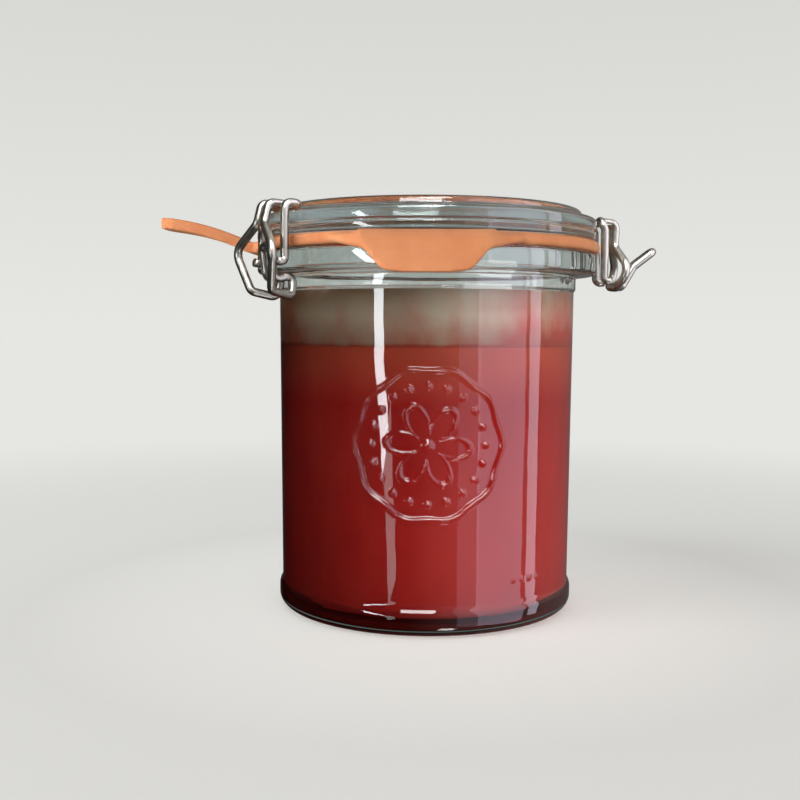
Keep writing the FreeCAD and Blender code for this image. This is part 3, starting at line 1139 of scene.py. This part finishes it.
@dataclass
class Studio:
    """Pale table, pale surroundings that darken to the left, soft lamps and the camera.

    In the surroundings a direction is a length from -1 to 1 along an axis, X to the right and Y to
    the back. A spread is the low and high that are read, then the low and high that they become.
    """

    horizon: str = "e6e6e2"
    overhead: str = "cfcfcc"
    overhead_from: float = 0.45
    window_side: Corner = (0.9, 0.15, 0.0)
    side_share: Spread = (-0.42, 0.45, 0.02, 1.0)
    rear_share: Spread = (0.3, 0.9, 1.0, 0.35)
    low_share: Stops = ((0.0, "84848a"), (0.33, "aeaeb2"), (0.49, "cacace"), (0.53, "ffffff"))
    mirrored_level: float = 0.85
    scattered_level: float = 0.4
    behind_glass: Spread = (-0.4, -0.15, 0.12, 0.72)
    table_colour: str = "d9d9d5"
    table_radius: float = 2.5
    table_fade: tuple[float, float] = (0.12, 0.34)
    # Painted pool of light: a glow on the table round the jar, shown to the camera only.
    painted_light_pool: Spread = (0.034, 0.08, 0.46, 0.2)
    lens_mm: float = 47.54
    camera_place: Corner = (0.0, -0.21615, 0.0564)
    camera_down: float = 4.06
    camera_roll: float = -0.3
    camera_turn: float = 1.41
    lamps: tuple[SoftLamp, ...] = (
        SoftLamp("window", 60.0, 0.8, 0.2, 0.63, 1.4, 6.4, "e6e6ff"),
        SoftLamp("curtain", 33.0, 0.81, 0.2, 0.26, 1.4, 0.9, "e6e6ff"),
        SoftLamp("window_edge", 90.0, 0.8, 0.3, 0.18, 1.25, 2.5, "f1ecff"),
        card("strip", -26.5, 0.8, -0.125, 0.085, 0.17, 0.13, lean=22.0),
        card("strip_top", -37.9, 0.79, 0.064, 0.075, 0.356, 1.4, "f4fbff", lean=40.0),
        unseen("front", 50.0, 0.9, 0.3, 0.7, 0.7, 11.5),
        SoftLamp("overhead", 10.0, 0.35, 0.75, 0.24, 0.24, 2.6),
        card("relief_card", -5.0, 0.6, 0.6, 0.36, 0.5, 8.0),
        card("low_card", 20.0, 0.5, -0.5, 0.12, 0.3, 1.2),
    )
    table_lamps: tuple[SoftLamp, ...] = (
        unseen("table_light", -60.0, 0.9, 0.8, 0.55, 0.55, 3.0),
        unseen("table_fill", -20.0, 0.1, 1.3, 1.8, 1.8, 7.4),
    )
    ring_lamps: tuple[SoftLamp, ...] = (
        unseen("ring_light", 34.0, 0.9, 0.3, 0.7, 0.7, 5.6, through_glass=False),
        unseen("ring_fill", -74.0, 0.5, 0.1, 0.3, 0.3, 3.4, through_glass=False),
    )

    def room_share(
        self, tree: bpy.types.NodeTree, way: bpy.types.NodeSocket, parts: bpy.types.Node
    ) -> bpy.types.NodeSocket:
        """Gives the share of full brightness that the room has in each direction.

        Args:
            tree: The world's nodes.
            way: The direction.
            parts: The direction's lengths along the axes.

        Returns:
            The share, less to the left, to the back and below.
        """
        window = add_node(
            tree,
            "ShaderNodeVectorMath",
            {"operation": "DOT_PRODUCT", 1: self.window_side},
            {0: way},
        )
        side = add_node(
            tree,
            "ShaderNodeMapRange",
            {"interpolation_type": "SMOOTHSTEP", **spread_inputs(self.side_share)},
            {0: window.outputs["Value"]},
        )
        rise = add_node(
            tree, "ShaderNodeMapRange", spread_inputs((-1.0, 1.0)), {0: parts.outputs["Z"]}
        )
        lower = add_node(
            tree, "ShaderNodeValToRGB", links={0: rise.outputs[0]}, stops=self.low_share
        )
        rear = add_node(
            tree, "ShaderNodeMapRange", spread_inputs(self.rear_share), {0: parts.outputs["Y"]}
        )
        flank = add_node(
            tree,
            "ShaderNodeMath",
            {"operation": "MULTIPLY"},
            {0: side.outputs[0], 1: rear.outputs[0]},
        )
        share = add_node(
            tree,
            "ShaderNodeMath",
            {"operation": "MULTIPLY"},
            {0: flank.outputs[0], 1: lower.outputs[0]},
        )
        return share.outputs[0]

    def surroundings(self) -> None:
        """Sets the surroundings.

        The camera sees plain paper. Reflections and glass show a room with its window at the
        right, what is seen straight through glass is paler and darkens only downwards, and
        scattered light comes evenly from everywhere.
        """
        world = bpy.data.worlds.new("pale_room")
        bpy.context.scene.world = world
        world.use_nodes = True
        tree = world.node_tree
        tree.nodes.clear()
        way = add_node(tree, "ShaderNodeTexCoord").outputs["Generated"]
        parts = add_node(tree, "ShaderNodeSeparateXYZ", links={0: way})
        share = self.room_share(tree, way, parts)
        height = add_node(
            tree,
            "ShaderNodeMapRange",
            spread_inputs((0.0, self.overhead_from)),
            {0: parts.outputs["Z"]},
        )
        shade = add_node(
            tree,
            "ShaderNodeValToRGB",
            links={0: height.outputs[0]},
            stops=[(0.0, self.horizon), (1.0, self.overhead)],
        ).outputs[0]
        path = add_node(tree, "ShaderNodeLightPath")
        mirrored = add_node(
            tree,
            "ShaderNodeMath",
            {"operation": "MAXIMUM"},
            {0: path.outputs["Is Glossy Ray"], 1: path.outputs["Is Transmission Ray"]},
        )
        even = add_node(
            tree,
            "ShaderNodeBackground",
            {"Color": linear("ffffff"), "Strength": self.scattered_level},
        )
        strength = add_node(
            tree, "ShaderNodeMath", {"operation": "MULTIPLY", 1: self.mirrored_level}, {0: share}
        )
        room = add_node(
            tree, "ShaderNodeBackground", links={"Color": shade, "Strength": strength.outputs[0]}
        )
        near = add_node(
            tree,
            "ShaderNodeMixShader",
            links={0: mirrored.outputs[0], 1: even.outputs[0], 2: room.outputs[0]},
        )
        unscattered = add_node(
            tree,
            "ShaderNodeMath",
            {"operation": "LESS_THAN", 1: 0.5},
            {0: path.outputs["Diffuse Depth"]},
        )
        straight = add_node(
            tree,
            "ShaderNodeMath",
            {"operation": "MULTIPLY"},
            {0: path.outputs["Is Transmission Ray"], 1: unscattered.outputs[0]},
        )
        fall = add_node(
            tree, "ShaderNodeMapRange", spread_inputs(self.behind_glass), {0: parts.outputs["Z"]}
        )
        behind = add_node(
            tree, "ShaderNodeBackground", links={"Color": shade, "Strength": fall.outputs[0]}
        )
        beyond = add_node(
            tree,
            "ShaderNodeMixShader",
            links={0: straight.outputs[0], 1: near.outputs[0], 2: behind.outputs[0]},
        )
        paper = add_node(tree, "ShaderNodeBackground", {"Strength": 1.0}, {"Color": shade})
        seen = add_node(
            tree,
            "ShaderNodeMixShader",
            links={0: path.outputs["Is Camera Ray"], 1: beyond.outputs[0], 2: paper.outputs[0]},
        )
        add_node(tree, "ShaderNodeOutputWorld", links={"Surface": seen.outputs[0]})

    def matt_paper(self) -> bpy.types.Material:
        """Builds the table's finish: matt paper.

        To the camera only, it has a painted pool of light round the jar, which glows faintly, and
        fades into the horizon's colour away from it. Distances are in metres from the jar's axis.

        Returns:
            The material.
        """
        material, tree, output = new_material("matt_paper")
        place = add_node(tree, "ShaderNodeTexCoord").outputs["Object"]
        reach = add_node(tree, "ShaderNodeVectorMath", {"operation": "LENGTH"}, {0: place})
        away = add_node(
            tree,
            "ShaderNodeMapRange",
            {"interpolation_type": "SMOOTHSTEP", **spread_inputs(self.table_fade)},
            {0: reach.outputs["Value"]},
        )
        path = add_node(tree, "ShaderNodeLightPath")
        faded = add_node(
            tree,
            "ShaderNodeMath",
            {"operation": "MULTIPLY"},
            {0: away.outputs[0], 1: path.outputs["Is Camera Ray"]},
        )
        paper = add_node(tree, "ShaderNodeBsdfDiffuse", {"Color": linear(self.table_colour)})
        # Painted pool of light round the jar, which the camera alone sees.
        pool = add_node(
            tree,
            "ShaderNodeMapRange",
            spread_inputs(self.painted_light_pool),
            {0: reach.outputs["Value"]},
        )
        shown = add_node(
            tree,
            "ShaderNodeMath",
            {"operation": "MULTIPLY"},
            {0: pool.outputs[0], 1: path.outputs["Is Camera Ray"]},
        )
        bright = add_node(
            tree,
            "ShaderNodeEmission",
            {"Color": linear(self.table_colour)},
            {"Strength": shown.outputs[0]},
        )
        matt = add_node(
            tree, "ShaderNodeAddShader", links={0: paper.outputs[0], 1: bright.outputs[0]}
        )
        glow = add_node(
            tree, "ShaderNodeEmission", {"Color": linear(self.horizon), "Strength": 1.0}
        )
        both = add_node(
            tree,
            "ShaderNodeMixShader",
            links={0: faded.outputs[0], 1: matt.outputs[0], 2: glow.outputs[0]},
        )
        tree.links.new(both.outputs[0], output.inputs["Surface"])
        return material

    def table(self) -> bpy.types.Object:
        """Adds the table.

        Returns:
            The table.
        """
        mesh = bmesh.new()
        bmesh.ops.create_circle(mesh, cap_ends=True, segments=96, radius=self.table_radius)
        top = finished(mesh, "table", self.matt_paper())
        top.visible_glossy = False
        top.visible_transmission = False
        return top

    def camera(self) -> None:
        """Adds the camera, close to the jar and a little above its middle."""
        data = bpy.data.cameras.new("view")
        data.lens = self.lens_mm
        data.sensor_width = 36.0
        data.clip_start = 0.01
        camera = bpy.data.objects.new("view", data)
        camera.location = self.camera_place
        angles = (90 - self.camera_down, self.camera_roll, self.camera_turn)
        camera.rotation_euler = tuple(math.radians(angle) for angle in angles)
        bpy.context.scene.collection.objects.link(camera)
        bpy.context.scene.camera = camera

    def light(self, top: bpy.types.Object, ring: bpy.types.Object) -> None:
        """Adds the lamps: the jar's, then the table's and the ring's, which light nothing else.

        The table's lamps let the shadow fall to the right. The ring's light it at a plain level,
        which the jar's lamps, set for what lies behind glass, would pass.

        Args:
            top: The table, which the jar's lamps leave alone.
            ring: The rubber ring, which they leave alone too.
        """
        for_jar = [lamp.build() for lamp in self.lamps]
        for target, lamps in ((top, self.table_lamps), (ring, self.ring_lamps)):
            only = bpy.data.collections.new(f"{target.name}_only")
            only.objects.link(target)
            for lamp in lamps:
                lamp.build().light_linking.receiver_collection = only
        for lamp in for_jar:
            spared = bpy.data.collections.new(f"spared_by_{lamp.name}")
            spared.objects.link(top)
            spared.objects.link(ring)
            lamp.light_linking.receiver_collection = spared
            for member in spared.collection_objects:
                member.light_linking.link_state = "EXCLUDE"

    def build(self) -> None:
        """Sets the whole studio up."""
        bpy.context.scene.view_settings.view_transform = "Standard"
        self.surroundings()
        top = self.table()
        self.camera()
        self.light(top, bpy.data.objects["seal_ring"])


def main() -> None:
    """Builds the jar, its filling, lid, ring and clips, and the studio."""
    logging.basicConfig(level=logging.INFO, format="%(name)s %(message)s")
    jar = JarGlass()
    jar.build()
    Filling(jar=jar).build()
    LidGlass().build()
    SealRing().build()
    wire = DrawnSteelWire().make()
    for node in ("clip_left", "clip_right"):
        WireClip(node, wire).build()
    Studio().build()


if __name__ == "__main__":
    main()
